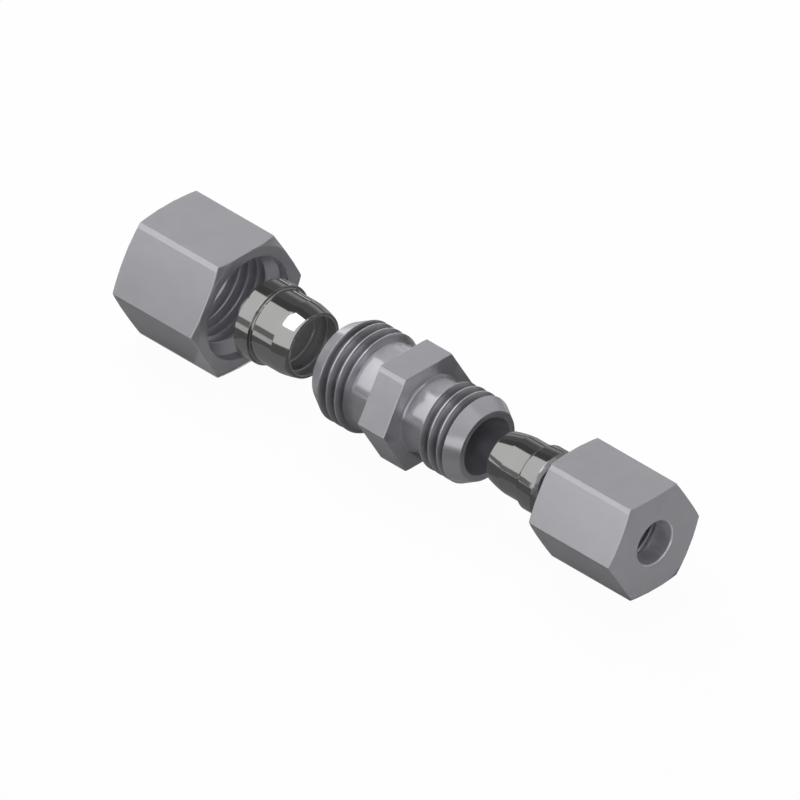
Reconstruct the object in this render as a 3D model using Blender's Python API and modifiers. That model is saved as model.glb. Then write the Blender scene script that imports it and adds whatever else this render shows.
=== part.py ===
"""Straight reducing tube fitting with 24 degree cones, its five pieces laid out in line.

The body takes an 8 mm tube at -X and a 6 mm tube at +X. On each side a cutting ring slides on the
tube into the cone of the body, and a union nut follows it and is screwed onto the body's thread.
The axis of the fitting runs along X, and the larger nut lies on one of its flats at Z = 0.
"""

import math
from types import SimpleNamespace

import bmesh
import bpy
from mathutils import Matrix, Vector

# Tubes and threads, in metres
LARGE_TUBE = 0.008
SMALL_TUBE = 0.006
TUBE_PLAY = 0.00005
THREAD_OVER_TUBE = 0.006
PITCH = 0.0015
THREAD_PLAY = 0.0001

# Cones and passages of the body
CONE_OVER_TUBE = 0.0021
CONE_HALF_ANGLE = math.radians(12.0)
STOP_WIDTH = 0.001
WEB_LENGTH = 0.0052
DRILL_TIP_ANGLE = math.radians(59.0)

# Outside of the body
LARGE_END_LAND = 0.00065
SMALL_END_LAND = 0.0008
LEAD_ANGLE = math.radians(30.0)
LARGE_THREAD_LENGTH = 0.0066
SMALL_THREAD_LENGTH = 0.00638
LARGE_THREAD_START = 0.00107
SMALL_THREAD_START = 0.00033
THREAD_BACK_LENGTH = 0.00025
NECK_RELIEF = 0.00008
LARGE_NECK_LENGTH = 0.0038
SMALL_NECK_LENGTH = 0.00387
NECK_FILLET = 0.0006
HEX_LENGTH = 0.00457

# Union nuts
LARGE_NUT_LENGTH = 0.0145
SMALL_NUT_LENGTH = 0.0146
LARGE_NUT_WALL = 0.0015
SMALL_NUT_WALL = 0.0010
NUT_THREAD_DEPTH = 0.0095
NUT_THREAD_RUNOUT = 0.0008
NUT_CONE_ANGLE = math.radians(45.0)
NUT_CHAMFER_ANGLE = math.radians(16.0)
NUT_FACE_RIM = 0.0001
NUT_MOUTH_RIM = 0.00015
NUT_MOUTH_ANGLE = math.radians(30.0)
NUT_BORE_CHAMFER = 0.0002

# Cutting rings
RING_PLAY = 0.00002
LIP_WALL = 0.00045
COLLAR_RISE = 0.00047
RING_BACK_CHAMFER = 0.0010
LARGE_COLLAR_LENGTH = 0.00227
SMALL_COLLAR_LENGTH = 0.0024
COLLAR_SLOPE = 0.0005
LARGE_BARREL_LENGTH = 0.00323
SMALL_BARREL_LENGTH = 0.0031
LARGE_TAPER = 0.00253
SMALL_TAPER = 0.00277
TAPER_BULGE = 0.00006
EDGE_DEPTHS = (0.0016, 0.0038)
EDGE_HEIGHT = 0.00018
EDGE_RELIEF = 0.0011
RING_BACK_FLARE = 0.0003

# Free space along the axis between one piece and the next
LARGE_NUT_GAP = 0.0020
LARGE_RING_GAP = 0.00542
SMALL_RING_GAP = 0.00325
SMALL_NUT_GAP = 0.0020
SEAT_GAP = 0.00003

# Fineness of the round faces, and how far a cutter stands out of what it cuts
SEGMENTS = 40
OVERRUN = 0.001
GROOVE_PAST_THREAD = 0.75
MERGE = 0.000001
SMOOTH_ANGLE = math.radians(35.0)
THREAD_HALF_ANGLE = math.radians(30.0)
ALONG_X = (0.0, math.radians(90.0), 0.0)
AGAINST_X = (0.0, math.radians(-90.0), 0.0)


def tube_end(tube, end_land, thread_length, neck_length, nut_length, nut_wall, collar, barrel, taper):
    """Work out the sizes that the body, ring and nut of one side share."""
    end = SimpleNamespace()
    end.bore = tube / 2.0 + TUBE_PLAY
    end.passage = tube / 2.0 - STOP_WIDTH
    end.mouth = (tube + CONE_OVER_TUBE) / 2.0
    end.cone_length = (end.mouth - end.bore) / math.tan(CONE_HALF_ANGLE)
    end.face = end.mouth + end_land
    end.thread = (tube + THREAD_OVER_TUBE) / 2.0
    end.lead_length = (end.thread - end.face) / math.tan(LEAD_ANGLE)
    end.root = end.thread - 0.6134 * PITCH
    end.neck = end.root - NECK_RELIEF
    end.thread_length = thread_length
    end.neck_length = neck_length
    end.nut_crest = end.thread - 0.5413 * PITCH
    end.nut_length = nut_length
    end.nut_flat = end.thread + nut_wall
    end.nut_cone = nut_length - NUT_THREAD_DEPTH
    end.nut_cone_length = (end.nut_crest - end.bore) / math.tan(NUT_CONE_ANGLE)
    end.lip = end.bore + LIP_WALL
    end.barrel = end.mouth - RING_PLAY
    end.collar = end.barrel + COLLAR_RISE
    end.collar_end = RING_BACK_CHAMFER + collar
    end.barrel_start = end.collar_end + COLLAR_SLOPE
    end.taper_start = end.barrel_start + barrel
    end.taper = taper
    end.ring_length = end.taper_start + taper
    return end


def taper_outline(end, count=4):
    """The bulged front taper of a ring, from its barrel to its lip, as (radius, height) points."""
    points = []
    for i in range(count + 1):
        t = i / count
        straight = end.barrel + (end.lip - end.barrel) * t
        bulge = 4.0 * TAPER_BULGE * t * (1.0 - t)
        points.append((min(straight + bulge, end.barrel), end.taper_start + end.taper * t))
    return points


def seat_depth(end):
    """How deep a ring's lip is inside the body when its taper meets the cone."""
    slope = math.tan(CONE_HALF_ANGLE)
    return min(
        end.ring_length - height + (end.mouth - SEAT_GAP - radius) / slope
        for radius, height in taper_outline(end)
    )


def closed_nut_face(end):
    """How far outside the body's end face a nut's outer face stands once it is screwed home."""
    back_radius = end.collar - RING_BACK_CHAMFER
    contact = end.nut_cone - (end.nut_crest - back_radius) / math.tan(NUT_CONE_ANGLE)
    return end.ring_length - seat_depth(end) + contact + SEAT_GAP


LARGE = tube_end(
    LARGE_TUBE,
    LARGE_END_LAND,
    LARGE_THREAD_LENGTH,
    LARGE_NECK_LENGTH,
    LARGE_NUT_LENGTH,
    LARGE_NUT_WALL,
    LARGE_COLLAR_LENGTH,
    LARGE_BARREL_LENGTH,
    LARGE_TAPER,
)
SMALL = tube_end(
    SMALL_TUBE,
    SMALL_END_LAND,
    SMALL_THREAD_LENGTH,
    SMALL_NECK_LENGTH,
    SMALL_NUT_LENGTH,
    SMALL_NUT_WALL,
    SMALL_COLLAR_LENGTH,
    SMALL_BARREL_LENGTH,
    SMALL_TAPER,
)

# Places on the axis, from the outer face of the large nut to the outer face of the small nut
HEX_START = LARGE.thread_length + LARGE.neck_length
HEX_END = HEX_START + HEX_LENGTH
BODY_LENGTH = HEX_END + SMALL.neck_length + SMALL.thread_length
LARGE_SIDE = LARGE.nut_length + LARGE_NUT_GAP + LARGE.ring_length + LARGE_RING_GAP
SMALL_SIDE = SMALL.nut_length + SMALL_NUT_GAP + SMALL.ring_length + SMALL_RING_GAP
LARGE_NUT_X = -(LARGE_SIDE + BODY_LENGTH + SMALL_SIDE) / 2.0
LARGE_RING_X = LARGE_NUT_X + LARGE.nut_length + LARGE_NUT_GAP
BODY_X = LARGE_NUT_X + LARGE_SIDE
BODY_END_X = BODY_X + BODY_LENGTH
SMALL_NUT_X = BODY_END_X + SMALL_SIDE
SMALL_RING_X = SMALL_NUT_X - SMALL.nut_length - SMALL_NUT_GAP
AXIS_HEIGHT = max(LARGE.nut_flat, SMALL.nut_flat)

# How far each nut runs in before it is tight
LARGE_NUT_RUN = LARGE_SIDE - closed_nut_face(LARGE)
SMALL_NUT_RUN = SMALL_SIDE - closed_nut_face(SMALL)


def collection(name):
    """Make a collection in the scene."""
    made = bpy.data.collections.new(name)
    bpy.context.scene.collection.children.link(made)
    return made


def metal(name, colour, roughness):
    """A bare metal of one colour."""
    made = bpy.data.materials.new(name)
    made.use_nodes = True
    shader = made.node_tree.nodes["Principled BSDF"]
    shader.inputs["Base Color"].default_value = (*colour, 1.0)
    shader.inputs["Metallic"].default_value = 1.0
    shader.inputs["Roughness"].default_value = roughness
    return made


def placed(name, mesh, group, x, rotation):
    """Put a mesh on the axis of the fitting, with its height along or against X."""
    made = bpy.data.objects.new(name, mesh)
    made.location = (x, 0.0, AXIS_HEIGHT)
    made.rotation_euler = rotation
    group.objects.link(made)
    return made


def turned(name, outline, group, x, rotation, bore=None):
    """Turn an outline of (radius, height) points about the height.

    The outline runs up the outer side. A piece with a hole through it has a second outline, which
    runs down the bore and closes the section.
    """
    mesh = bpy.data.meshes.new(name)
    section = outline + (bore or [])
    points = [(radius, 0.0, height) for radius, height in reversed(section)]
    edges = [(i, i + 1) for i in range(len(points) - 1)]
    if bore:
        edges.append((len(points) - 1, 0))
    mesh.from_pydata(points, edges, [])
    made = placed(name, mesh, group, x, rotation)
    screw = made.modifiers.new("turn", "SCREW")
    screw.axis = "Z"
    screw.steps = SEGMENTS
    screw.render_steps = SEGMENTS
    screw.use_merge_vertices = True
    screw.merge_threshold = MERGE
    return made


def hexagonal_bar(name, flat, start, stop, group, x, rotation):
    """A hexagonal bar with one flat on top, between two heights."""
    mesh = bpy.data.meshes.new(name)
    corner = flat / math.cos(math.radians(30.0))
    bm = bmesh.new()
    bmesh.ops.create_cone(
        bm, cap_ends=True, segments=6, radius1=corner, radius2=corner, depth=stop - start
    )
    bmesh.ops.translate(bm, verts=bm.verts, vec=(0.0, 0.0, (start + stop) / 2.0))
    bm.to_mesh(mesh)
    bm.free()
    return placed(name, mesh, group, x, rotation)


def thread_groove(name, section, start_x, stop_x, group):
    """Sweep a section of (radius, height) points up a right-hand helix along X."""
    mesh = bpy.data.meshes.new(name)
    steps = round((stop_x - start_x) / PITCH * SEGMENTS)
    bm = bmesh.new()
    # Turned by half a facet, so that its corners fall between those of the piece
    turn = Matrix.Rotation(math.pi / SEGMENTS, 3, "Z")
    corners = [bm.verts.new(turn @ Vector((radius, 0.0, height))) for radius, height in section]
    edges = [bm.edges.new((corners[i - 1], corners[i])) for i in range(len(corners))]
    bmesh.ops.spin(
        bm,
        geom=corners + edges,
        cent=(0.0, 0.0, 0.0),
        axis=(0.0, 0.0, 1.0),
        dvec=(0.0, 0.0, PITCH / SEGMENTS),
        angle=math.tau * steps / SEGMENTS,
        steps=steps,
    )
    bmesh.ops.holes_fill(bm, edges=[edge for edge in bm.edges if edge.is_boundary])
    bmesh.ops.recalc_face_normals(bm, faces=bm.faces)
    bm.to_mesh(mesh)
    bm.free()
    return placed(name, mesh, group, start_x, ALONG_X)


def outer_groove(end):
    """Section of the groove cut into the body, with sixty degree flanks."""
    top = end.thread + THREAD_PLAY
    narrow = PITCH / 12.0
    wide = narrow + (top - end.root) * math.tan(THREAD_HALF_ANGLE)
    return [(end.root, -narrow), (top, -wide), (top, wide), (end.root, narrow)]


def inner_groove(end):
    """Section of the groove cut into the nut, which clears the ridge of the body all round."""
    top = end.thread + THREAD_PLAY / 2.0
    base = end.nut_crest - THREAD_PLAY / 2.0
    narrow = PITCH / 16.0 + THREAD_PLAY
    wide = narrow + (top - base) * math.tan(THREAD_HALF_ANGLE)
    return [(base, -wide), (top, -narrow), (top, narrow), (base, wide)]


def boolean(piece, other, operation):
    """Cut, join or trim a piece with another object."""
    step = piece.modifiers.new(other.name, "BOOLEAN")
    step.operation = operation
    step.object = other
    step.solver = "EXACT"


def fillet(radius, height, turn, count=3):
    """A quarter round that runs from the neck out to a face of the hexagon."""
    points = []
    for i in range(count + 1):
        angle = math.radians(90.0) * i / count
        out = NECK_FILLET * (1.0 - math.cos(angle))
        along = NECK_FILLET * (1.0 - math.sin(angle))
        points.append((radius + out, height - turn * along))
    return points


def lead_in(end):
    """End face and lead chamfer of one side, from the axis out to the thread."""
    return [(0.0, 0.0), (end.face, 0.0), (end.thread, end.lead_length)]


def thread_back(end):
    """Back of the thread and the neck behind it, measured from the end face."""
    return [
        (end.thread, end.thread_length),
        (end.neck, end.thread_length + THREAD_BACK_LENGTH),
    ]


def make_body(parts, cutters):
    """Turned body with a hexagon in the middle and a thread, a cone and a socket at each end."""
    near = lead_in(LARGE) + thread_back(LARGE) + fillet(LARGE.neck, HEX_START, 1.0)
    far = lead_in(SMALL) + thread_back(SMALL)
    far = [(radius, BODY_LENGTH - height) for radius, height in reversed(far)]
    outline = near + list(reversed(fillet(SMALL.neck, HEX_END, -1.0))) + far
    body = turned("reducer_body", outline, parts, BODY_X, ALONG_X)
    hexagon = hexagonal_bar(
        "body_hexagon", LARGE.thread, HEX_START, HEX_END, cutters, BODY_X, ALONG_X
    )
    boolean(body, hexagon, "UNION")

    socket = (BODY_LENGTH - WEB_LENGTH) / 2.0
    tip = (LARGE.passage - SMALL.passage) / math.tan(DRILL_TIP_ANGLE)
    flare = OVERRUN * math.tan(CONE_HALF_ANGLE)
    passage = [
        (0.0, -OVERRUN),
        (LARGE.mouth + flare, -OVERRUN),
        (LARGE.bore, LARGE.cone_length),
        (LARGE.bore, socket),
        (LARGE.passage, socket),
        (LARGE.passage, (BODY_LENGTH - tip) / 2.0),
        (SMALL.passage, (BODY_LENGTH + tip) / 2.0),
        (SMALL.passage, BODY_LENGTH - socket),
        (SMALL.bore, BODY_LENGTH - socket),
        (SMALL.bore, BODY_LENGTH - SMALL.cone_length),
        (SMALL.mouth + flare, BODY_LENGTH + OVERRUN),
        (0.0, BODY_LENGTH + OVERRUN),
    ]
    boolean(body, turned("body_passage", passage, cutters, BODY_X, ALONG_X), "DIFFERENCE")

    start, stop = body_thread_span(LARGE)
    groove = thread_groove("body_large_groove", outer_groove(LARGE), start, stop, cutters)
    boolean(body, groove, "DIFFERENCE")
    start, stop = body_thread_span(SMALL)
    groove = thread_groove("body_small_groove", outer_groove(SMALL), start, stop, cutters)
    boolean(body, groove, "DIFFERENCE")
    return body


def body_thread_span(end):
    """Where a groove of the body starts and stops on X: beyond the end face and in the neck."""
    past_thread = end.thread_length + GROOVE_PAST_THREAD * end.neck_length
    if end is LARGE:
        return BODY_X - PITCH - LARGE_THREAD_START, BODY_X + past_thread
    turns = math.floor(past_thread / PITCH)
    return BODY_END_X - SMALL_THREAD_START - turns * PITCH, BODY_END_X + PITCH


def nut_thread_span(end):
    """Where a nut's groove starts and stops on X, in step with the body once the nut is home."""
    ridge = body_thread_span(end)[0] + PITCH / 2.0
    blind = end.nut_cone + NUT_THREAD_RUNOUT
    if end is LARGE:
        first = ridge - LARGE_NUT_RUN
        turns = math.ceil((LARGE_NUT_X + blind - first) / PITCH)
        return first + turns * PITCH, LARGE_NUT_X + end.nut_length + PITCH
    first = ridge + SMALL_NUT_RUN
    turns = math.ceil((first - SMALL_NUT_X + end.nut_length + PITCH) / PITCH)
    return first - turns * PITCH, SMALL_NUT_X - blind


def make_nut(name, end, x, rotation, parts, cutters):
    """Union nut: a chamfered hexagon, bored for the tube, with a cone and a thread inside."""
    rim = end.nut_flat + NUT_FACE_RIM
    clear = end.nut_flat / math.cos(math.radians(30.0)) + OVERRUN
    rise = (clear - rim) * math.tan(NUT_CHAMFER_ANGLE)
    outline = [
        (rim, 0.0),
        (clear, rise),
        (clear, end.nut_length - rise),
        (rim, end.nut_length),
    ]
    mouth = end.thread + NUT_MOUTH_RIM
    mouth_depth = (mouth - end.nut_crest) / math.tan(NUT_MOUTH_ANGLE)
    bore = [
        (mouth, end.nut_length),
        (end.nut_crest, end.nut_length - mouth_depth),
        (end.nut_crest, end.nut_cone),
        (end.bore, end.nut_cone - end.nut_cone_length),
        (end.bore, NUT_BORE_CHAMFER),
        (end.bore + NUT_BORE_CHAMFER, 0.0),
    ]
    nut = turned(name, outline, parts, x, rotation, bore)
    start, stop = nut_thread_span(end)
    groove = thread_groove(name + "_groove", inner_groove(end), start, stop, cutters)
    boolean(nut, groove, "DIFFERENCE")
    hexagon = hexagonal_bar(
        name + "_hexagon", end.nut_flat, -OVERRUN, end.nut_length + OVERRUN, cutters, x, rotation
    )
    boolean(nut, hexagon, "INTERSECT")
    return nut


def make_ring(name, end, x, rotation, parts):
    """Cutting ring: a collar for the nut, a barrel, a taper, and cutting edges in its bore."""
    outline = [
        (end.collar - RING_BACK_CHAMFER, 0.0),
        (end.collar, RING_BACK_CHAMFER),
        (end.collar, end.collar_end),
        (end.barrel, end.barrel_start),
    ]
    outline += taper_outline(end)
    bore = [(end.bore, end.ring_length)]
    for depth in EDGE_DEPTHS:
        edge = end.ring_length - depth
        bore += [(end.bore, edge + EDGE_RELIEF), (end.bore + EDGE_HEIGHT, edge), (end.bore, edge)]
    bore += [(end.bore, RING_BACK_FLARE), (end.bore + RING_BACK_FLARE, 0.0)]
    return turned(name, outline, parts, x, rotation, bore)


def finish(piece, look):
    """Fix the modelled shape, shade its round faces smooth and give it its metal."""
    depsgraph = bpy.context.evaluated_depsgraph_get()
    mesh = bpy.data.meshes.new_from_object(piece.evaluated_get(depsgraph))
    piece.modifiers.clear()
    piece.data = mesh
    bm = bmesh.new()
    bm.from_mesh(mesh)
    bmesh.ops.remove_doubles(bm, verts=bm.verts, dist=MERGE)
    bmesh.ops.dissolve_degenerate(bm, edges=bm.edges, dist=MERGE)
    bm.to_mesh(mesh)
    bm.free()
    mesh.shade_smooth()
    mesh.set_sharp_from_angle(angle=SMOOTH_ANGLE)
    mesh.materials.clear()
    mesh.materials.append(look)


def main():
    """Model the five pieces."""
    for thing in list(bpy.data.objects):
        bpy.data.objects.remove(thing)
    parts = collection("tube_fitting")
    cutters = collection("cutters")
    body = make_body(parts, cutters)
    large_nut = make_nut("union_nut_8mm", LARGE, LARGE_NUT_X, ALONG_X, parts, cutters)
    small_nut = make_nut("union_nut_6mm", SMALL, SMALL_NUT_X, AGAINST_X, parts, cutters)
    large_ring = make_ring("cutting_ring_8mm", LARGE, LARGE_RING_X, ALONG_X, parts)
    small_ring = make_ring("cutting_ring_6mm", SMALL, SMALL_RING_X, AGAINST_X, parts)
    for cutter in cutters.objects:
        cutter.hide_render = True
        cutter.display_type = "WIRE"
    bpy.context.view_layer.update()
    finish(body, metal("body_steel", (0.40, 0.40, 0.41), 0.32))
    finish(large_nut, metal("large_nut_steel", (0.42, 0.42, 0.43), 0.34))
    finish(small_nut, metal("small_nut_steel", (0.42, 0.42, 0.43), 0.34))
    finish(large_ring, metal("large_ring_steel", (0.26, 0.26, 0.26), 0.14))
    finish(small_ring, metal("small_ring_steel", (0.26, 0.26, 0.26), 0.14))


main()
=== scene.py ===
"""Looks of the tube fitting: five turned steel pieces laid out in line, with real cut threads.

Every size is in metres and is the CAD model's own. The axis of the fitting runs along X.
"""

import math

import bmesh
import bpy
from mathutils import Matrix, Vector


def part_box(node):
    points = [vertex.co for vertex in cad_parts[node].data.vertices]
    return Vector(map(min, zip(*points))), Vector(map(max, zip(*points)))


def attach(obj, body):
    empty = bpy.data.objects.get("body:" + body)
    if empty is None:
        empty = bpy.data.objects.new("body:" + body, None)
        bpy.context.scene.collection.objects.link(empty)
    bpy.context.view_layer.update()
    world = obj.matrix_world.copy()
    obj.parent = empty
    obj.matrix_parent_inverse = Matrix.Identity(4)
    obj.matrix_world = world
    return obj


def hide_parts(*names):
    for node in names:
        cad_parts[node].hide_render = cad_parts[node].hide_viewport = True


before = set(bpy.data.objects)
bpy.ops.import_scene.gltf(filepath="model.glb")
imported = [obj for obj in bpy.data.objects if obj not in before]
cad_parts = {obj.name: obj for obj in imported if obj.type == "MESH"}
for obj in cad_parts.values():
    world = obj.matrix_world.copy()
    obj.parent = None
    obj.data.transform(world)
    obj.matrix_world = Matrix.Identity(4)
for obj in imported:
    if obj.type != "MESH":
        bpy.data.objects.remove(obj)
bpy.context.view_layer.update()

# Sizes that every threaded piece shares
MM = 0.001
PITCH = 1.5 * MM
AXIS_HEIGHT = 8.5 * MM
HALF_FACET = math.radians(30.0)
FACET = math.radians(60.0)
CONE_HALF_ANGLE = math.radians(12.0)
FLANK = math.tan(math.radians(60.0))
CHAMFER_SLOPE = math.tan(math.radians(30.0))
THREAD_PLAY = 0.1 * MM
ROOT_PLAY = 0.05 * MM
MOUTH_PLAY = 0.06 * MM
TUBE_PLAY = 0.05 * MM
RING_PLAY = 0.02 * MM
CONE_OVER_TUBE = 2.1 * MM
THREAD_OVER_TUBE = 6.0 * MM

# Sizes of the body
HEX_LENGTH = 4.57 * MM
SOCKET_DEPTH = 10.01 * MM
STOP_WIDTH = 1.0 * MM
DRILL_SLOPE = math.tan(math.radians(59.0))
BODY_THREAD_DEPTH = 0.6134 * PITCH
BODY_GROOVE = PITCH * 7.0 / 16.0
BODY_ROOT_ROUND = 0.35 * MM
LARGE_LEAD_FADE = 0.3 * MM
SMALL_LEAD_FADE = 0.5 * MM
THREAD_BACK = 0.25 * MM
NECK_RELIEF = 0.08 * MM
NECK_FILLET = 0.4 * MM

# Sizes of the nuts
FACE_RIM = 0.1 * MM
FACE_SLOPE = math.tan(math.radians(16.0))
NUT_THREAD_REACH = 9.5 * MM
NUT_THREAD_DEPTH = 0.5413 * PITCH
NUT_GROOVE = PITCH * 3.0 / 8.0 + THREAD_PLAY
NUT_ROOT_ROUND = 0.3 * MM
INNER_FADE = 0.8 * MM
MOUTH_FADE = 0.25 * MM
MOUTH_RIM = 0.15 * MM
MOUTH_LAND = 0.3 * MM
BORE_CHAMFER = 0.2 * MM
BORE_LAND = 1.0 * MM

# Sizes of the rings
BACK_CHAMFER = 1.0 * MM
BACK_FLARE = 0.3 * MM
COLLAR_RISE = 0.47 * MM
COLLAR_FOOT = 0.1 * MM
COLLAR_SLOPE = 0.5 * MM
TAPER_BULGE = 0.24 * MM
TAPER_STEPS = 8
LIP_WALL = 0.45 * MM
EDGE_DEPTHS = (1.6 * MM, 3.8 * MM)
EDGE_RELIEF = 1.1 * MM
EDGE_HEIGHT = 0.18 * MM

# Fineness of the turned skins: columns round each sixth of a turn, the first and last a little off
# its corners, rows along one pitch, and how close two points are to count as one
COLUMNS = 26
CORNER_GAP = math.radians(0.28)
THREAD_ROWS = 32
WELD = 0.0015 * MM

# A fade shorter than this is none, and an angle smaller than this is none
NO_FADE = 1e-7
NO_TURN = 1e-9

# Straight steps to a turn of the solids' own grooves, which set where those grooves lie
SOLID_SEGMENTS = 40

# How far back from a corner its rounding starts, on the rings too, and the most that it takes of
# the shorter side there
EDGE = 0.06 * MM
RING_EDGE = 0.04 * MM
EDGE_SHARE = 0.45

# The same on the rim of a hexagon, and where the middle row of its rounding lies
BAR_EDGE = 0.14 * MM
BAR_MIDDLE = 0.3 * BAR_EDGE
RIM_SHARE = 0.4

# The hexagonal bar is drawn, which leaves a narrow rolled band along each of its long edges
ROLLED_WIDTH = 0.75 * MM
ROLLED_ANGLE = math.radians(3.5)

# Steels: their colours, the grain of their tone and polish, the painted shade that darkens a
# groove's root, and how rough that root is. A bore's painted light and roughness reach a little
# past its wall.
PLATING = (0.553, 0.553, 0.590)
RING_GREY = (0.40, 0.40, 0.395)
CLOUD_SCALE = 420.0
CLOUD_SHARE = 0.7
GRIT_SCALE = 9000.0
TONE = 0.07
ROOT_PAINTED_SHADE = 0.15
CLOUD_ROUGH = 0.06
ROOT_ROUGH = 0.12
PAST_BORE = 0.15 * MM

# Plain light from all round, and the floor's own grey and how much of it the camera sees as white
SOFT_LIGHT = 0.22
FLOOR_GREY = 0.50
FLOOR_GLOW = 0.97

# Edges that turn by more than these stay sharp: anywhere, and where a thread meets its piece
SHARP = math.radians(38.0)
SHARP_AT_THREAD = SHARP / 3.0

# Where the second and last columns of each sixth lie on the rings, nearly evenly spaced
CALM = math.radians(27.5)

# Where the pieces lie on the axis
LARGE_NUT_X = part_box("union_nut_8mm")[0].x
LARGE_RING_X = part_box("cutting_ring_8mm")[0].x
BODY_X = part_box("reducer_body")[0].x
BODY_END_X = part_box("reducer_body")[1].x
SMALL_RING_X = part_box("cutting_ring_6mm")[1].x
SMALL_NUT_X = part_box("union_nut_6mm")[1].x


# Node maths


class Value:
    """A number that a socket of a node tree gives, so that nodes can be written as sums."""

    def __init__(self, tree, socket):
        self.tree = tree
        self.socket = socket

    def math(self, operation, *others):
        made = self.tree.nodes.new("ShaderNodeMath")
        made.operation = operation
        for place, other in zip(made.inputs, (self, *others)):
            join(self.tree, other, place)
        return Value(self.tree, made.outputs[0])

    def __add__(self, other):
        return self.math("ADD", other)

    def __radd__(self, other):
        return self.math("ADD", other)

    def __sub__(self, other):
        return self.math("SUBTRACT", other)

    def __rsub__(self, other):
        return constant(self.tree, other).math("SUBTRACT", self)

    def __mul__(self, other):
        return self.math("MULTIPLY", other)

    def __rmul__(self, other):
        return self.math("MULTIPLY", other)

    def __truediv__(self, other):
        return self.math("DIVIDE", other)

    def __rtruediv__(self, other):
        return constant(self.tree, other).math("DIVIDE", self)

    def __mod__(self, other):
        return self.math("FLOORED_MODULO", other)


def constant(tree, number):
    """A fixed number as a node's value."""
    made = tree.nodes.new("ShaderNodeMath")
    made.operation = "ADD"
    made.inputs[0].default_value = number
    made.inputs[1].default_value = 0.0
    return Value(tree, made.outputs[0])


def join(tree, source, place):
    """Link a value or socket to an input, or write a plain number or colour there."""
    if isinstance(source, Value):
        tree.links.new(source.socket, place)
    elif isinstance(source, bpy.types.NodeSocket):
        tree.links.new(source, place)
    elif source is not None:
        place.default_value = source


def node(tree, kind, settings=None, **inputs):
    """Add a node of a type, with its settings first and then its inputs by name."""
    made = tree.nodes.new(kind)
    for key, value in (settings or {}).items():
        setattr(made, key, value)
    for key, value in inputs.items():
        join(tree, value, made.inputs[key])
    return made


# Turned skins


def crease_angle(flat):
    """Where the rolled edge of a flat starts, as an angle from the middle of the flat."""
    return math.atan((flat * math.tan(HALF_FACET) - ROLLED_WIDTH) / flat)


def hex_radius(flat, angle):
    """How far out the drawn bar reaches at an angle about the axis. Each flat has a rolled edge."""
    turned = (angle + HALF_FACET) % FACET - HALF_FACET
    crease = crease_angle(flat)
    if turned >= -crease - NO_TURN:
        return flat / math.cos(turned)
    # Distance and angle of the rolled facet's own plane
    edge = flat / math.cos(crease)
    plane = edge * math.cos(crease - ROLLED_ANGLE)
    return plane / math.cos(-turned - ROLLED_ANGLE)


def angles(crease):
    """Angles of the columns about +X, from straight down towards +Y, closer at each corner."""
    found = []
    for facet in range(6):
        middle = FACET * facet
        found.append(middle - HALF_FACET + CORNER_GAP)
        for step in range(COLUMNS - 2):
            found.append(middle - crease + 2.0 * crease * step / (COLUMNS - 3))
        found.append(middle + HALF_FACET - CORNER_GAP)
    return found


def round_row(x, radius):
    """A circle of the skin."""
    return lambda angle: (x, radius)


def rounded(points, size=EDGE, steps=3):
    """Round the inner corners of a line of (x, radius) points, and keep its two ends."""
    line = [points[0]]
    for before, here, after in zip(points, points[1:], points[2:]):
        a, b, c = Vector(before), Vector(here), Vector(after)
        reach = min(size, (a - b).length * EDGE_SHARE, (c - b).length * EDGE_SHARE)
        start = b + (a - b).normalized() * reach
        stop = b + (c - b).normalized() * reach
        for step in range(steps + 1):
            t = step / steps
            p = start.lerp(b, t).lerp(b.lerp(stop, t), t)
            line.append((p.x, p.y))
    line.append(points[-1])
    return line


def circles(points, size=EDGE, steps=3):
    """Rows of a round skin along a line with rounded corners."""
    return [round_row(x, radius) for x, radius in rounded(points, size, steps)]


def skin(bm, rows, crease):
    """Add a strip of faces between each row and the next, all the way round."""
    turns = angles(crease)
    rings = []
    for row in rows:
        ring = []
        for angle in turns:
            x, radius = row(angle)
            y = radius * math.sin(angle)
            z = AXIS_HEIGHT - radius * math.cos(angle)
            ring.append(bm.verts.new((x, y, z)))
        rings.append(ring)
    for ring, after in zip(rings, rings[1:]):
        for i in range(len(turns)):
            j = (i + 1) % len(turns)
            bm.faces.new((ring[i], ring[j], after[j], after[i]))


def crease_bars(bm, flat, start, stop):
    """Keep the edge between each flat and its rolled bands crisp, from start to stop on X."""
    bm.normal_update()
    for edge in bm.edges:
        a, b = (vert.co for vert in edge.verts)
        out = min(math.hypot(a.y, a.z - AXIS_HEIGHT), math.hypot(b.y, b.z - AXIS_HEIGHT))
        inside = start < min(a.x, b.x) and max(a.x, b.x) < stop
        if inside and out > flat - WELD and edge.calc_face_angle(0.0) > ROLLED_ANGLE / 2.0:
            edge.smooth = False


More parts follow.
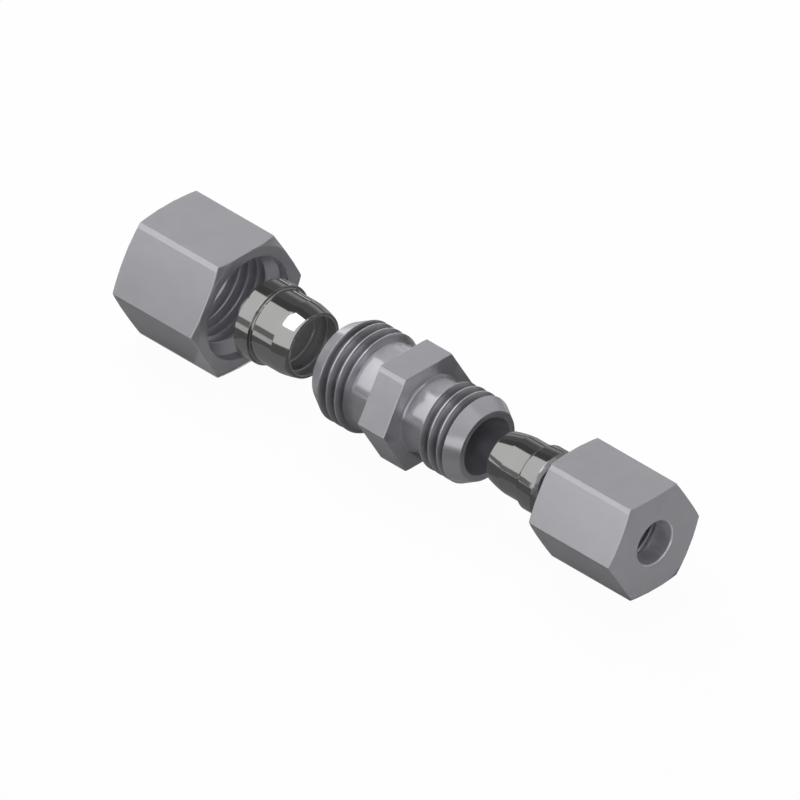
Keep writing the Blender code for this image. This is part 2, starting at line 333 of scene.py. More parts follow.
def thread_tree():
    """Geometry nodes that add a helical thread, turned along X, to the open skin of a piece."""
    tree = bpy.data.node_groups.new("thread", "GeometryNodeTree")
    face = tree.interface
    face.new_socket("Geometry", in_out="INPUT", socket_type="NodeSocketGeometry")
    for name in (
        "Pitch",
        "Crest Radius",
        "Root Radius",
        "Groove Half Width",
        "Groove Centre",
        "Start",
        "End",
        "Start Fade",
        "End Fade",
        "Wall Side",
        "Wall Length",
        "Wall Radius",
        "Root Round",
        "Crease Angle",
    ):
        face.new_socket(name, in_out="INPUT", socket_type="NodeSocketFloat")
    for name in ("Rows", "Rows per Pitch", "Columns"):
        face.new_socket(name, in_out="INPUT", socket_type="NodeSocketInt")
    face.new_socket("Material", in_out="INPUT", socket_type="NodeSocketMaterial")
    face.new_socket("Geometry", in_out="OUTPUT", socket_type="NodeSocketGeometry")

    source = node(tree, "NodeGroupInput")

    def given(name):
        return Value(tree, source.outputs[name])

    pitch = given("Pitch")
    rows = given("Rows")
    columns = given("Columns")
    across = columns * 6.0 + 1.0
    grid = node(tree, "GeometryNodeMeshGrid")
    join(tree, rows + 2.0, grid.inputs["Vertices X"])
    join(tree, across, grid.inputs["Vertices Y"])

    index = Value(tree, node(tree, "GeometryNodeInputIndex").outputs[0])
    row = ((index + 0.5) / across).math("FLOOR")
    before = given("Wall Side").math("LESS_THAN", -0.5)
    wall = before * row.math("LESS_THAN", 0.5)
    wall = wall + (1.0 - before) * row.math("GREATER_THAN", rows + 0.5)
    column = index - row * across
    row = row - before
    facet = ((column + 0.5) / columns).math("FLOOR")
    step = column - facet * columns
    crease = given("Crease Angle")
    turned = (step - 1.0) * crease * 2.0 / (columns - 3.0) - crease
    side = step.math("GREATER_THAN", columns - 1.5) - step.math("LESS_THAN", 0.5)
    corner = side.math("ABSOLUTE")
    angle = facet * FACET + turned * (1.0 - corner) + side * (HALF_FACET - CORNER_GAP)

    start = given("Start")
    end = given("End")
    centre = given("Groove Centre")
    helix = centre + pitch * angle / math.tau
    along = helix + row * pitch / given("Rows per Pitch")
    x = along.math("MAXIMUM", start).math("MINIMUM", end)
    aside = ((x - helix) / pitch + 0.5) % 1.0 - 0.5
    aside = aside.math("ABSOLUTE") * pitch
    deep = (given("Root Radius") - given("Crest Radius")).math("ABSOLUTE")
    depth = (given("Groove Half Width") - aside).math("MAXIMUM", 0.0) * FLANK
    depth = depth.math("SMOOTH_MIN", deep, given("Root Round"))
    for limit, fade, inward in ((start, "Start Fade", 1.0), (end, "End Fade", -1.0)):
        ramp = node(tree, "ShaderNodeMapRange", {"interpolation_type": "SMOOTHSTEP"}, Value=x)
        join(tree, limit, ramp.inputs["From Min"])
        join(tree, limit + given(fade) * inward, ramp.inputs["From Max"])
        none = given(fade).math("LESS_THAN", NO_FADE)
        depth = depth * Value(tree, ramp.outputs[0]).math("MAXIMUM", none)
    outward = (given("Root Radius") - given("Crest Radius")).math("SIGN")
    radius = given("Crest Radius") + depth * outward

    # The outermost row on one side is the wall that closes the thread against the piece
    x = x + wall * given("Wall Length") * given("Wall Side")
    radius = radius + wall * (given("Wall Radius") - radius)
    y = radius * angle.math("SINE")
    z = AXIS_HEIGHT - radius * angle.math("COSINE")
    place = node(tree, "ShaderNodeCombineXYZ", X=x, Y=y, Z=z)
    moved = node(
        tree,
        "GeometryNodeSetPosition",
        Geometry=grid.outputs["Mesh"],
        Position=place.outputs[0],
    )
    # How deep each point lies in its groove, which the steels use to paint shade into the roots
    marked = node(
        tree,
        "GeometryNodeStoreNamedAttribute",
        {"data_type": "FLOAT", "domain": "POINT"},
        Geometry=moved.outputs[0],
        Name="groove",
        Value=depth / deep * (1.0 - wall),
    )
    both = node(tree, "GeometryNodeJoinGeometry")
    tree.links.new(source.outputs["Geometry"], both.inputs[0])
    tree.links.new(marked.outputs[0], both.inputs[0])
    welded = node(tree, "GeometryNodeMergeByDistance", Geometry=both.outputs[0], Distance=WELD)
    real = node(tree, "GeometryNodeRealizeInstances", Geometry=welded.outputs[0])
    finish = node(
        tree,
        "GeometryNodeSetMaterial",
        Geometry=real.outputs[0],
        Material=source.outputs["Material"],
    )
    node(tree, "NodeGroupOutput", Geometry=finish.outputs[0])
    return tree


def cut_thread(piece, tree, material, **sizes):
    """Add a thread to a piece, with its sizes set by the names of the tree's inputs."""
    # The first row starts half a pitch to one and a half before the thread, at a groove's middle
    centre = sizes["Groove Centre"]
    centre -= math.floor((centre - sizes["Start"]) / PITCH + 1.5) * PITCH
    sizes["Groove Centre"] = centre
    sizes["Rows"] = math.ceil((sizes["End"] - centre) * THREAD_ROWS / PITCH) + THREAD_ROWS // 4
    sizes["Rows per Pitch"] = THREAD_ROWS
    sizes["Columns"] = COLUMNS
    sizes["Pitch"] = PITCH
    sizes["Material"] = material
    step = piece.modifiers.new("thread", "NODES")
    step.node_group = tree
    for item in tree.interface.items_tree:
        if item.in_out == "INPUT" and item.name in sizes:
            step[item.identifier] = sizes[item.name]


def plain(piece):
    """Turn a piece with its modifiers into a plain mesh."""
    bpy.context.view_layer.update()
    ready = piece.evaluated_get(bpy.context.evaluated_depsgraph_get())
    mesh = bpy.data.meshes.new_from_object(ready)
    piece.modifiers.clear()
    old = piece.data
    piece.data = mesh
    bpy.data.meshes.remove(old)
    mesh.name = piece.name


def finished(name, bm, material, threads=(), tree=None, crease=CALM):
    """Make the open skins of a piece and its threads into one closed, smooth piece."""
    mesh = bpy.data.meshes.new(name)
    bm.to_mesh(mesh)
    bm.free()
    piece = bpy.data.objects.new(name, mesh)
    bpy.context.scene.collection.objects.link(piece)
    mesh.materials.append(material)
    for sizes in threads:
        sizes["Crease Angle"] = crease
        cut_thread(piece, tree, material, **sizes)
    if threads:
        plain(piece)
    bm = bmesh.new()
    bm.from_mesh(piece.data)
    bmesh.ops.remove_doubles(bm, verts=bm.verts, dist=WELD)
    bmesh.ops.dissolve_degenerate(bm, edges=bm.edges, dist=WELD)
    bmesh.ops.recalc_face_normals(bm, faces=bm.faces)
    if bm.calc_volume(signed=True) < 0.0:
        bmesh.ops.reverse_faces(bm, faces=bm.faces)
    for face in bm.faces:
        face.smooth = True
    limits = [sizes[name] for sizes in threads for name in ("Start", "End")]
    for edge in bm.edges:
        turn = edge.calc_face_angle(0.0)
        ends = any(all(abs(vert.co.x - x) < WELD for vert in edge.verts) for x in limits)
        if turn > SHARP or (ends and turn > SHARP_AT_THREAD):
            edge.smooth = False
    bm.to_mesh(piece.data)
    bm.free()
    weigh = piece.modifiers.new("face weights", "WEIGHTED_NORMAL")
    weigh.mode = "FACE_AREA"
    weigh.weight = 60
    weigh.keep_sharp = True
    plain(piece)
    return piece


# Sizes of the two ends


class End:
    """Sizes that the body, ring and nut of one side share.

    tube is the tube's diameter, land the width of the body's flat end face, and wall how far the
    nut's flats lie over its thread. The others are lengths, of which the last four are the ring's.
    """

    def __init__(
        self, tube, land, thread_length, neck_length, nut_length, wall, collar, step, barrel, taper
    ):
        self.bore = tube / 2.0 + TUBE_PLAY
        self.passage = tube / 2.0 - STOP_WIDTH
        self.mouth = (tube + CONE_OVER_TUBE) / 2.0
        self.cone_length = (self.mouth - self.bore) / math.tan(CONE_HALF_ANGLE)
        self.face = self.mouth + land
        self.thread = (tube + THREAD_OVER_TUBE) / 2.0
        self.lead_length = (self.thread - self.face) / CHAMFER_SLOPE
        self.root = self.thread - BODY_THREAD_DEPTH
        self.neck = self.root - NECK_RELIEF
        self.thread_length = thread_length
        self.neck_length = neck_length
        self.nut_crest = self.thread - NUT_THREAD_DEPTH
        self.nut_length = nut_length
        self.nut_flat = self.thread + wall
        self.nut_cone = nut_length - NUT_THREAD_REACH
        self.nut_cone_length = self.nut_crest - self.bore
        self.lip = self.bore + LIP_WALL
        self.barrel = self.mouth - RING_PLAY
        self.collar = self.barrel + COLLAR_RISE
        self.collar_end = BACK_CHAMFER + collar
        self.step = step
        self.barrel_start = self.collar_end + COLLAR_SLOPE
        self.taper_start = self.barrel_start + barrel
        self.taper = taper
        self.ring_length = self.taper_start + taper


LARGE = End(
    tube=8.0 * MM,
    land=0.65 * MM,
    thread_length=6.6 * MM,
    neck_length=3.8 * MM,
    nut_length=14.5 * MM,
    wall=1.5 * MM,
    collar=2.27 * MM,
    step=0.03 * MM,
    barrel=3.23 * MM,
    taper=2.53 * MM,
)
SMALL = End(
    tube=6.0 * MM,
    land=0.8 * MM,
    thread_length=6.38 * MM,
    neck_length=3.87 * MM,
    nut_length=14.6 * MM,
    wall=1.0 * MM,
    collar=2.4 * MM,
    step=0.4 * MM,
    barrel=3.1 * MM,
    taper=2.77 * MM,
)
HEX_START = LARGE.thread_length + LARGE.neck_length
HEX_END = HEX_START + HEX_LENGTH
BODY_LENGTH = HEX_END + SMALL.neck_length + SMALL.thread_length

# How far each nut runs in, and how deep the body's face then stands in it
LARGE_RUN = 20.7605 * MM
SMALL_RUN = 18.7105 * MM
LARGE_CLOSED = BODY_X - LARGE_NUT_X - LARGE_RUN
SMALL_CLOSED = SMALL_NUT_X - SMALL_RUN - BODY_END_X

# Middle of one turn of each groove, where it passes straight below the axis, as in the solids
LARGE_THREAD_START = 1.07 * MM
SMALL_THREAD_START = 0.33 * MM
HALF_STEP = PITCH / SOLID_SEGMENTS / 2.0
BODY_LARGE_GROOVE = BODY_X - PITCH - LARGE_THREAD_START - HALF_STEP
BODY_SMALL_GROOVE = BODY_END_X - SMALL_THREAD_START - HALF_STEP
LARGE_NUT_GROOVE = BODY_LARGE_GROOVE + PITCH / 2.0 - LARGE_RUN
SMALL_NUT_GROOVE = BODY_SMALL_GROOVE + PITCH / 2.0 + SMALL_RUN


# Metals


def blend(tree, share, first, second):
    """A colour between two colours, each a link or three numbers."""
    mix = node(tree, "ShaderNodeMix", {"data_type": "RGBA"})
    factor = [i for i in mix.inputs if i.name == "Factor" and i.type == "VALUE"][0]
    join(tree, share, factor)
    ends = [i for i in mix.inputs if i.type == "RGBA"]
    for given, place in zip((first, second), ends):
        if isinstance(given, list):
            place.default_value = (*given, 1.0)
        else:
            tree.links.new(given, place)
    return [o for o in mix.outputs if o.type == "RGBA"][0]


def steel(name, colour, metallic, roughness, root_dark, bore=0.0, bore_pale=1.0, bore_rough=0.0):
    """A metal with a faint change of tone and of polish over its surface.

    root_dark is how far painted shade darkens the thread grooves. All that lies closer to the axis
    than bore gets painted light, bore_pale times paler, and is by bore_rough rougher.
    """
    made = bpy.data.materials.new(name)
    made.use_nodes = True
    tree = made.node_tree
    shader = tree.nodes["Principled BSDF"]
    shader.inputs["Metallic"].default_value = metallic
    place = node(tree, "ShaderNodeTexCoord").outputs["Object"]
    split = node(tree, "ShaderNodeSeparateXYZ", Vector=place)
    y = Value(tree, split.outputs["Y"])
    z = Value(tree, split.outputs["Z"]) - AXIS_HEIGHT
    out = (y * y + z * z).math("SQRT")
    inside = out.math("LESS_THAN", bore)
    soft = node(tree, "ShaderNodeTexNoise", Vector=place, Scale=CLOUD_SCALE, Detail=4.0)
    fine = node(tree, "ShaderNodeTexNoise", Vector=place, Scale=GRIT_SCALE, Detail=2.0)
    mark = node(tree, "ShaderNodeAttribute", {"attribute_name": "groove"})
    cloud = Value(tree, soft.outputs["Fac"])
    grit = Value(tree, fine.outputs["Fac"])
    groove = Value(tree, mark.outputs["Fac"])
    darker = [c * (1.0 - TONE) for c in colour]
    lighter = [c * (1.0 + TONE) for c in colour]
    tone_and_bore_light = blend(tree, cloud * CLOUD_SHARE + grit * (1.0 - CLOUD_SHARE), darker, lighter)
    # Painted light: the colour is made paler inside the bore
    tone_and_bore_light = blend(tree, inside, tone_and_bore_light, [min(1.0, c * bore_pale) for c in colour])
    # Painted shade in the thread grooves, darkest at the roots
    final = blend(tree, groove.math("SQRT") * root_dark, tone_and_bore_light, [c * ROOT_PAINTED_SHADE for c in colour])
    tree.links.new(final, shader.inputs["Base Color"])
    rough = roughness + (cloud - 0.5) * CLOUD_ROUGH + groove * ROOT_ROUGH
    join(tree, rough + inside * bore_rough, shader.inputs["Roughness"])
    return made


def plated(name, **finish):
    """Steel with the satin grey plating of the body and the nuts."""
    return steel(name, PLATING, metallic=0.62, roughness=0.17, **finish)


def polished(name, end):
    """The bare polished steel of a cutting ring, duller in its bore and painted paler there as
    painted light.
    """
    return steel(
        name,
        RING_GREY,
        metallic=1.0,
        roughness=0.09,
        root_dark=0.0,
        bore=end.bore + PAST_BORE,
        bore_pale=1.6,
        bore_rough=0.3,
    )


# The body has strong painted shade in its thread grooves and the nuts less. The large nut's painted
# light and rougher polish inside reach out to its mouth, and the small nut's lie in its bore alone.
PLATED = plated("satin_plated_steel", root_dark=0.8)
LARGE_NUT = plated(
    "satin_plated_large_nut",
    root_dark=0.25,
    bore=7.2 * MM,
    bore_pale=1.2,
    bore_rough=0.12,
)
SMALL_NUT = plated(
    "satin_plated_small_nut",
    root_dark=0.25,
    bore=SMALL.bore + PAST_BORE,
    bore_pale=1.6,
    bore_rough=0.12,
)
LARGE_RING = polished("polished_large_ring", LARGE)
SMALL_RING = polished("polished_small_ring", SMALL)


# The five pieces

THREAD = thread_tree()


def fillet(radius, x, sign, steps=5):
    """Quarter round from a neck out to a face of the hexagon."""
    line = []
    for i in range(steps + 1):
        turn = math.radians(90.0) * i / steps
        along = NECK_FILLET * (1.0 - math.sin(turn))
        out = NECK_FILLET * (1.0 - math.cos(turn))
        line.append((x - sign * along, radius + out))
    return line


def make_body():
    """The reducing body, with a hexagon, two threads and a passage in three diameters."""
    bm = bmesh.new()
    # Through the bore, from one end cone to the other, and out over both chamfers
    tip = (LARGE.passage - SMALL.passage) / DRILL_SLOPE
    middle = BODY_X + BODY_LENGTH / 2.0
    inside = [
        (BODY_X + LARGE.lead_length, LARGE.thread),
        (BODY_X, LARGE.face),
        (BODY_X, LARGE.mouth),
        (BODY_X + LARGE.cone_length, LARGE.bore),
        (BODY_X + SOCKET_DEPTH, LARGE.bore),
        (BODY_X + SOCKET_DEPTH, LARGE.passage),
        (middle - tip / 2.0, LARGE.passage),
        (middle + tip / 2.0, SMALL.passage),
        (BODY_END_X - SOCKET_DEPTH, SMALL.passage),
        (BODY_END_X - SOCKET_DEPTH, SMALL.bore),
        (BODY_END_X - SMALL.cone_length, SMALL.bore),
        (BODY_END_X, SMALL.mouth),
        (BODY_END_X, SMALL.face),
        (BODY_END_X - SMALL.lead_length, SMALL.thread),
    ]
    crease = crease_angle(LARGE.thread)
    skin(bm, circles(inside), crease)
    # Neck, hexagon and neck between the two threads
    start = BODY_X + HEX_START
    end = BODY_X + HEX_END
    near = [(BODY_X + LARGE.thread_length + THREAD_BACK, LARGE.neck)]
    near += fillet(LARGE.neck, start, 1.0)
    far = list(reversed(fillet(SMALL.neck, end, -1.0)))
    far += [(BODY_END_X - SMALL.thread_length - THREAD_BACK, SMALL.neck)]
    flat = LARGE.thread
    rows = [round_row(x, radius) for x, radius in near]
    for x, inset in (
        (start, BAR_EDGE),
        (start + BAR_MIDDLE, BAR_MIDDLE),
        (start + BAR_EDGE, 0.0),
        (end - BAR_EDGE, 0.0),
        (end - BAR_MIDDLE, BAR_MIDDLE),
        (end, BAR_EDGE),
    ):
        rows.append(lambda angle, x=x, inset=inset: (x, hex_radius(flat, angle) - inset))
    rows += [round_row(x, radius) for x, radius in far]
    skin(bm, rows, crease)
    crease_bars(bm, flat, start, end)
    threads = [
        {
            "Crest Radius": LARGE.thread,
            "Root Radius": LARGE.root,
            "Groove Half Width": BODY_GROOVE,
            "Groove Centre": BODY_LARGE_GROOVE,
            "Start": BODY_X + LARGE.lead_length,
            "End": BODY_X + LARGE.thread_length,
            "Start Fade": LARGE_LEAD_FADE,
            "End Fade": 0.0,
            "Wall Side": 1.0,
            "Wall Length": THREAD_BACK,
            "Wall Radius": LARGE.neck,
            "Root Round": BODY_ROOT_ROUND,
        },
        {
            "Crest Radius": SMALL.thread,
            "Root Radius": SMALL.root,
            "Groove Half Width": BODY_GROOVE,
            "Groove Centre": BODY_SMALL_GROOVE,
            "Start": BODY_END_X - SMALL.thread_length,
            "End": BODY_END_X - SMALL.lead_length,
            "Start Fade": 0.0,
            "End Fade": SMALL_LEAD_FADE,
            "Wall Side": -1.0,
            "Wall Length": THREAD_BACK,
            "Wall Radius": SMALL.neck,
            "Root Round": BODY_ROOT_ROUND,
        },
    ]
    return finished("body", bm, PLATED, threads, THREAD, crease)


def make_nut(name, end, x, sign, groove, closed, material):
    """A union nut: chamfered hexagon outside, and inside its bore, cone, thread and mouth.

    It runs from its outer face at x the way of sign, groove is the middle of one turn of its
    thread, and closed is how far in the body's face stands when the nut is home. The mouth has
    the shape of the body's chamfer as it lies there, a little wider.
    """
    flat = end.nut_flat
    crest = end.nut_crest
    rim = flat + FACE_RIM
    cone = x + sign * end.nut_cone
    bore = [
        (cone, crest),
        (cone - sign * end.nut_cone_length, end.bore),
        (x + sign * BORE_CHAMFER, end.bore),
        (x, end.bore + BORE_CHAMFER),
        (x, end.bore + BORE_CHAMFER + BORE_LAND),
    ]
    far = x + sign * end.nut_length
    mouth = end.thread + MOUTH_RIM
    throat = end.thread + THREAD_PLAY
    edge = end.face + MOUTH_PLAY - closed * CHAMFER_SLOPE
    mouth_start = x + sign * (throat - edge) / CHAMFER_SLOPE
    mouth_end = x + sign * (crest - edge) / CHAMFER_SLOPE
    opening = [
        (far, mouth + MOUTH_LAND),
        (far, mouth),
        (mouth_start, throat),
        (mouth_end, crest),
    ]

    def reach(angle):
        return hex_radius(flat, angle)

    def depth(angle):
        return max(0.0, (reach(angle) - rim) * FACE_SLOPE)

    def chamfered(face, inward):
        """Rows from an end face over its chamfer to the flats, with both edges a little round."""
        fall = BAR_EDGE * FACE_SLOPE
        low = fall * RIM_SHARE
        return [
            lambda a: (face, min(rim, reach(a)) - BAR_EDGE),
            lambda a: (face + inward * low, min(rim, reach(a) - BAR_MIDDLE)),
            lambda a: (face + inward * max(low, depth(a) - fall), reach(a) - BAR_EDGE),
            lambda a: (face + inward * (depth(a) + BAR_MIDDLE), reach(a) - BAR_MIDDLE),
            lambda a: (face + inward * (depth(a) + BAR_EDGE), reach(a)),
        ]

    bm = bmesh.new()
    crease = crease_angle(flat)
    rows = circles(bore)
    rows += chamfered(x, sign)
    rows += list(reversed(chamfered(far, -sign)))
    rows += circles(opening)
    skin(bm, rows, crease)
    crease_bars(bm, flat, min(x, far), max(x, far))
    thread = {
        "Crest Radius": crest,
        "Root Radius": end.thread + ROOT_PLAY,
        "Groove Half Width": NUT_GROOVE,
        "Groove Centre": groove,
        "Start": min(cone, mouth_end),
        "End": max(cone, mouth_end),
        "Start Fade": INNER_FADE if sign > 0 else MOUTH_FADE,
        "End Fade": MOUTH_FADE if sign > 0 else INNER_FADE,
        "Wall Side": 1.0,
        "Wall Length": 0.0,
        "Wall Radius": crest,
        "Root Round": NUT_ROOT_ROUND,
    }
    return finished(name, bm, material, [thread], THREAD, crease)


def make_ring(name, end, x, sign, material):
    """A cutting ring: collar, barrel and bulged taper outside, and two cutting edges inside."""
    bm = bmesh.new()
    line = [
        (end.collar - BACK_CHAMFER, 0.0),
        (end.collar, BACK_CHAMFER),
        (end.collar, end.collar_end),
        (end.barrel + COLLAR_FOOT, end.collar_end + end.step),
        (end.barrel, end.collar_end + end.step + COLLAR_FOOT),
        (end.barrel, end.taper_start),
    ]
    for i in range(1, TAPER_STEPS + 1):
        t = i / TAPER_STEPS
        straight = end.barrel + (end.lip - end.barrel) * t
        bulge = TAPER_BULGE * t * (1.0 - t)
        line.append((min(straight + bulge, end.barrel), end.taper_start + end.taper * t))
    line.append((end.bore, end.ring_length))
    for depth in EDGE_DEPTHS:
        edge = end.ring_length - depth
        line += [(end.bore, edge + EDGE_RELIEF), (end.bore + EDGE_HEIGHT, edge), (end.bore, edge)]
    line += [(end.bore, BACK_FLARE), (end.bore + BACK_FLARE, 0.0)]
    line.append(line[0])
    points = [(x + sign * along, radius) for radius, along in line]
    skin(bm, circles(points, RING_EDGE), CALM)
    return finished(name, bm, material)


body = make_body()
large_nut = make_nut(
    "large_nut",
    LARGE,
    x=LARGE_NUT_X,
    sign=1.0,
    groove=LARGE_NUT_GROOVE,
    closed=LARGE_CLOSED,
    material=LARGE_NUT,
)
small_nut = make_nut(
    "small_nut",
    SMALL,
    x=SMALL_NUT_X,
    sign=-1.0,
    groove=SMALL_NUT_GROOVE,
    closed=SMALL_CLOSED,
    material=SMALL_NUT,
)
large_ring = make_ring("large_ring", LARGE, x=LARGE_RING_X, sign=1.0, material=LARGE_RING)
small_ring = make_ring("small_ring", SMALL, x=SMALL_RING_X, sign=-1.0, material=SMALL_RING)
for piece, carrier, cad, slot in (
    (body, "body", "reducer_body", "plated_steel"),
    (large_nut, "large_nut", "union_nut_8mm", "plated_steel"),
    (small_nut, "small_nut", "union_nut_6mm", "plated_steel"),
    (large_ring, "large_ring", "cutting_ring_8mm", "ring_steel"),
    (small_ring, "small_ring", "cutting_ring_6mm", "ring_steel"),
):
    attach(piece, carrier)
    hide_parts(cad)


# Floor, light and camera

# Middle of the fitting, and the photograph's view of it
MIDDLE = (0.0, 0.0, AXIS_HEIGHT)
VIEW_MIDDLE = (LARGE_NUT_X + 41.29 * MM, 0.0, AXIS_HEIGHT - 0.63 * MM)
VIEW_WIDTH = 99.69 * MM
VIEW_RISE = math.radians(35.264)
VIEW_DISTANCE = 2.5


def seen_directly(tree):
    """One where the camera, a mirror reflection or a ray through glass looks at the backdrop."""
    path = node(tree, "ShaderNodeLightPath")
    direct = Value(tree, path.outputs["Is Camera Ray"])
    direct = direct.math("MAXIMUM", Value(tree, path.outputs["Is Glossy Ray"]))
    return direct.math("MAXIMUM", Value(tree, path.outputs["Is Transmission Ray"]))


def make_floor():
    """A plain pale floor, white to the camera but for the soft shadow of the pieces."""
    mesh = bpy.data.meshes.new("floor")
    side = 3.0
    corners = [(-side, -side, 0.0), (side, -side, 0.0), (side, side, 0.0), (-side, side, 0.0)]
    mesh.from_pydata(corners, [], [(0, 1, 2, 3)])
    floor = bpy.data.objects.new("floor", mesh)
    bpy.context.scene.collection.objects.link(floor)
    pale = bpy.data.materials.new("pale_floor")
    pale.use_nodes = True
    tree = pale.node_tree
    tree.nodes.clear()
    matt = node(tree, "ShaderNodeBsdfDiffuse", Color=(FLOOR_GREY, FLOOR_GREY, FLOOR_GREY, 1.0))
    glow = node(tree, "ShaderNodeEmission", Color=(1.0, 1.0, 1.0, 1.0), Strength=1.0)
    mixed = node(tree, "ShaderNodeMixShader")
    join(tree, seen_directly(tree) * FLOOR_GLOW, mixed.inputs[0])
    tree.links.new(matt.outputs[0], mixed.inputs[1])
    tree.links.new(glow.outputs[0], mixed.inputs[2])
    out = node(tree, "ShaderNodeOutputMaterial")
    tree.links.new(mixed.outputs[0], out.inputs[0])
    mesh.materials.append(pale)


def make_world():
    """A white backdrop, and a plain soft light from all round."""
    world = bpy.data.worlds.new("studio")
    world.use_nodes = True
    tree = world.node_tree
    tree.nodes.clear()
    soft = node(tree, "ShaderNodeBackground", Color=(1.0, 1.0, 1.0, 1.0), Strength=SOFT_LIGHT)
    white = node(tree, "ShaderNodeBackground", Color=(1.0, 1.0, 1.0, 1.0), Strength=1.0)
    mixed = node(tree, "ShaderNodeMixShader")
    join(tree, seen_directly(tree), mixed.inputs[0])
    tree.links.new(soft.outputs[0], mixed.inputs[1])
    tree.links.new(white.outputs[0], mixed.inputs[2])
    out = node(tree, "ShaderNodeOutputWorld")
    tree.links.new(mixed.outputs[0], out.inputs[0])
    bpy.context.scene.world = world


def square_on(back):
    """Turn a panel so that its back points one way and its width lies along the fitting."""
    away = Vector(back).normalized()
    along = (Vector((1.0, 0.0, 0.0)) - away * away.x).normalized()
    return Matrix((along, away.cross(along), away)).transposed().to_euler()


def lamp(name, middle, towards, width, height, power):
    """A rectangular softbox, its width along the fitting."""
    data = bpy.data.lights.new(name, "AREA")
    data.shape = "RECTANGLE"
    data.size = width
    data.size_y = height
    data.energy = power
    made = bpy.data.objects.new(name, data)
    made.location = middle
    made.rotation_euler = square_on(Vector(middle) - Vector(towards))
    bpy.context.scene.collection.objects.link(made)
    return made


def card(name, corners, shade):
    """A flat card beside the pieces, of one shade of grey, which only their polished faces see."""
    mesh = bpy.data.meshes.new(name)
    mesh.from_pydata(corners, [], [tuple(range(len(corners)))])
    made = bpy.data.objects.new(name, mesh)
    bpy.context.scene.collection.objects.link(made)
    grey = bpy.data.materials.new(name)
    grey.use_nodes = True
    tree = grey.node_tree
    tree.nodes.clear()
    glow = node(tree, "ShaderNodeEmission", Color=(1.0, 1.0, 1.0, 1.0), Strength=shade)
    out = node(tree, "ShaderNodeOutputMaterial")
    tree.links.new(glow.outputs[0], out.inputs[0])
    mesh.materials.append(grey)
    made.visible_camera = False
    made.visible_diffuse = False
    made.visible_shadow = False
    made.visible_transmission = False


def long_card(name, low, high, shade, start=-3.0, stop=-0.1, away=1.5):
    """A card along the fitting between two heights, in degrees up from straight in front."""
    corners = []
    for x, height in ((start, low), (stop, low), (stop, high), (start, high)):
        turn = math.radians(height)
        corners.append((x, -away * math.cos(turn), AXIS_HEIGHT + away * math.sin(turn)))
    card(name, corners, shade)


def floor_card(name, x, y, shade, lift=0.3 * MM, slant=0.0):
    """A card just above the floor, which the metal sees in place of the floor as a painted
    reflection, between two places along the fitting and two across it.

    slant moves its edges along the fitting as they lie further back.
    """
    (x0, x1), (y0, y1) = x, y
    corners = [
        (x0 + slant * y0, y0, lift),
        (x1 + slant * y0, y0, lift),
        (x1 + slant * y1, y1, lift),
        (x0 + slant * y1, y1, lift),
    ]
    card(name, corners, shade)


def make_camera():
    """The photograph's view, level with all three axes of the fitting and without perspective."""
    data = bpy.data.cameras.new("camera")
    data.type = "ORTHO"
    data.ortho_scale = VIEW_WIDTH
    data.clip_end = 10.0
    made = bpy.data.objects.new("camera", data)
    back = Vector((1.0, -1.0, math.sqrt(2.0) * math.tan(VIEW_RISE))).normalized()
    made.location = Vector(VIEW_MIDDLE) + back * VIEW_DISTANCE
    made.rotation_euler = back.to_track_quat("Z", "Y").to_euler()
    bpy.context.scene.collection.objects.link(made)
    bpy.context.scene.camera = made


def around(direction, distance):
    """A point in a direction from the middle of the fitting."""
    return Vector(MIDDLE) + Vector(direction).normalized() * distance


make_camera()
make_floor()
make_world()

# Lamps: one above that polished faces show, and a broad one behind it that they don't
overhead = around((-0.24, -0.24, 0.95), 1.0)
lamp("overhead", overhead, MIDDLE, width=0.24, height=0.85, power=2.6)
high_behind = around((-0.50, 0.28, 0.82), 0.8)
behind = lamp("behind", high_behind, MIDDLE, width=0.8, height=0.6, power=8.5)
behind.visible_glossy = False

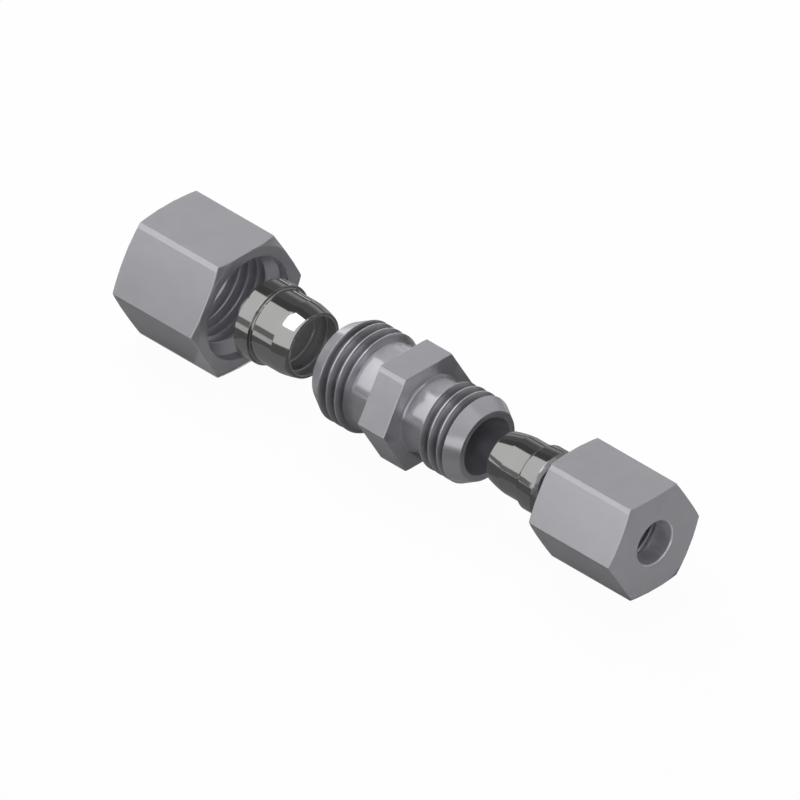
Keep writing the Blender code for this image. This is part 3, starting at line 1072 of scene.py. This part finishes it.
# Cards of many greys all round, with the white backdrop between them, which the metal reflects
front_outline = [
    (-1.5, -0.3, 0.0),
    (-0.15, -0.3, 0.0),
    (-0.15, -0.3, 0.086),
    (-0.191, -0.3, 0.086),
    (-0.199, -0.3, 0.0957),
    (-1.5, -0.3, 0.0957),
]
end_outline = [(1.3, -0.7, 0.0), (1.3, 1.0, 0.0), (1.3, 1.0, 0.75), (1.3, -0.7, 0.75)]
high_end_outline = [(0.8, -2.5, 0.62), (0.8, 2.5, 0.62), (0.8, 2.5, 4.0), (0.8, -2.5, 4.0)]
card("front_card", front_outline, shade=0.26)
long_card("high_card", low=96.0, high=122.0, shade=0.10)
long_card("back_card", low=122.0, high=146.0, shade=0.155)
long_card("low_card", low=146.0, high=154.0, shade=0.22)
long_card("back_edge", low=154.0, high=168.0, shade=0.42)
long_card("back_foot", low=168.0, high=179.6, shade=0.14)
long_card("back_right_card", low=108.0, high=179.6, shade=0.35, start=-0.1, stop=3.0)
card("end_card", end_outline, shade=0.08)
card("high_end_card", high_end_outline, shade=0.55)
# Painted reflections of the floor: the metal sees these cards instead of the pale floor, darker in
# most places
floor_card("floor_card", x=(-3.0, 3.0), y=(-1.5, 1.5), shade=0.15)
floor_card("floor_far_left", x=(-3.0, -0.11), y=(-0.6, 1.5), shade=0.95, lift=0.6 * MM)
floor_card("floor_behind", x=(-0.10, 0.003), y=(0.024, 0.060), shade=0.42, lift=0.5 * MM)
floor_card(
    "floor_left", x=(-0.6, -0.0155), y=(-0.20, -0.036), shade=0.80, lift=0.7 * MM, slant=0.7067
)
floor_card("floor_right", x=(0.0437, 2.0), y=(-1.45, 1.45), shade=0.38, lift=0.4 * MM)
# Painted shade: small darkest cards under the rings and at the body's foot and back, seen only in
# reflections
floor_card("large_ring_painted_shade", x=(-0.033, -0.020), y=(-0.02, 0.0), shade=0.25, lift=0.5 * MM)
floor_card("small_ring_painted_shade", x=(0.009, 0.021), y=(-0.02, 0.0), shade=0.22, lift=0.5 * MM)
floor_card("body_foot_painted_shade", x=(0.0035, 0.0075), y=(0.0, 0.008), shade=0.03, lift=0.5 * MM)
floor_card("body_back_painted_shade", x=(0.008, 0.028), y=(0.0085, 0.0235), shade=0.06, lift=0.5 * MM)
bpy.context.scene.view_settings.view_transform = "Standard"

bpy.context.view_layer.update()
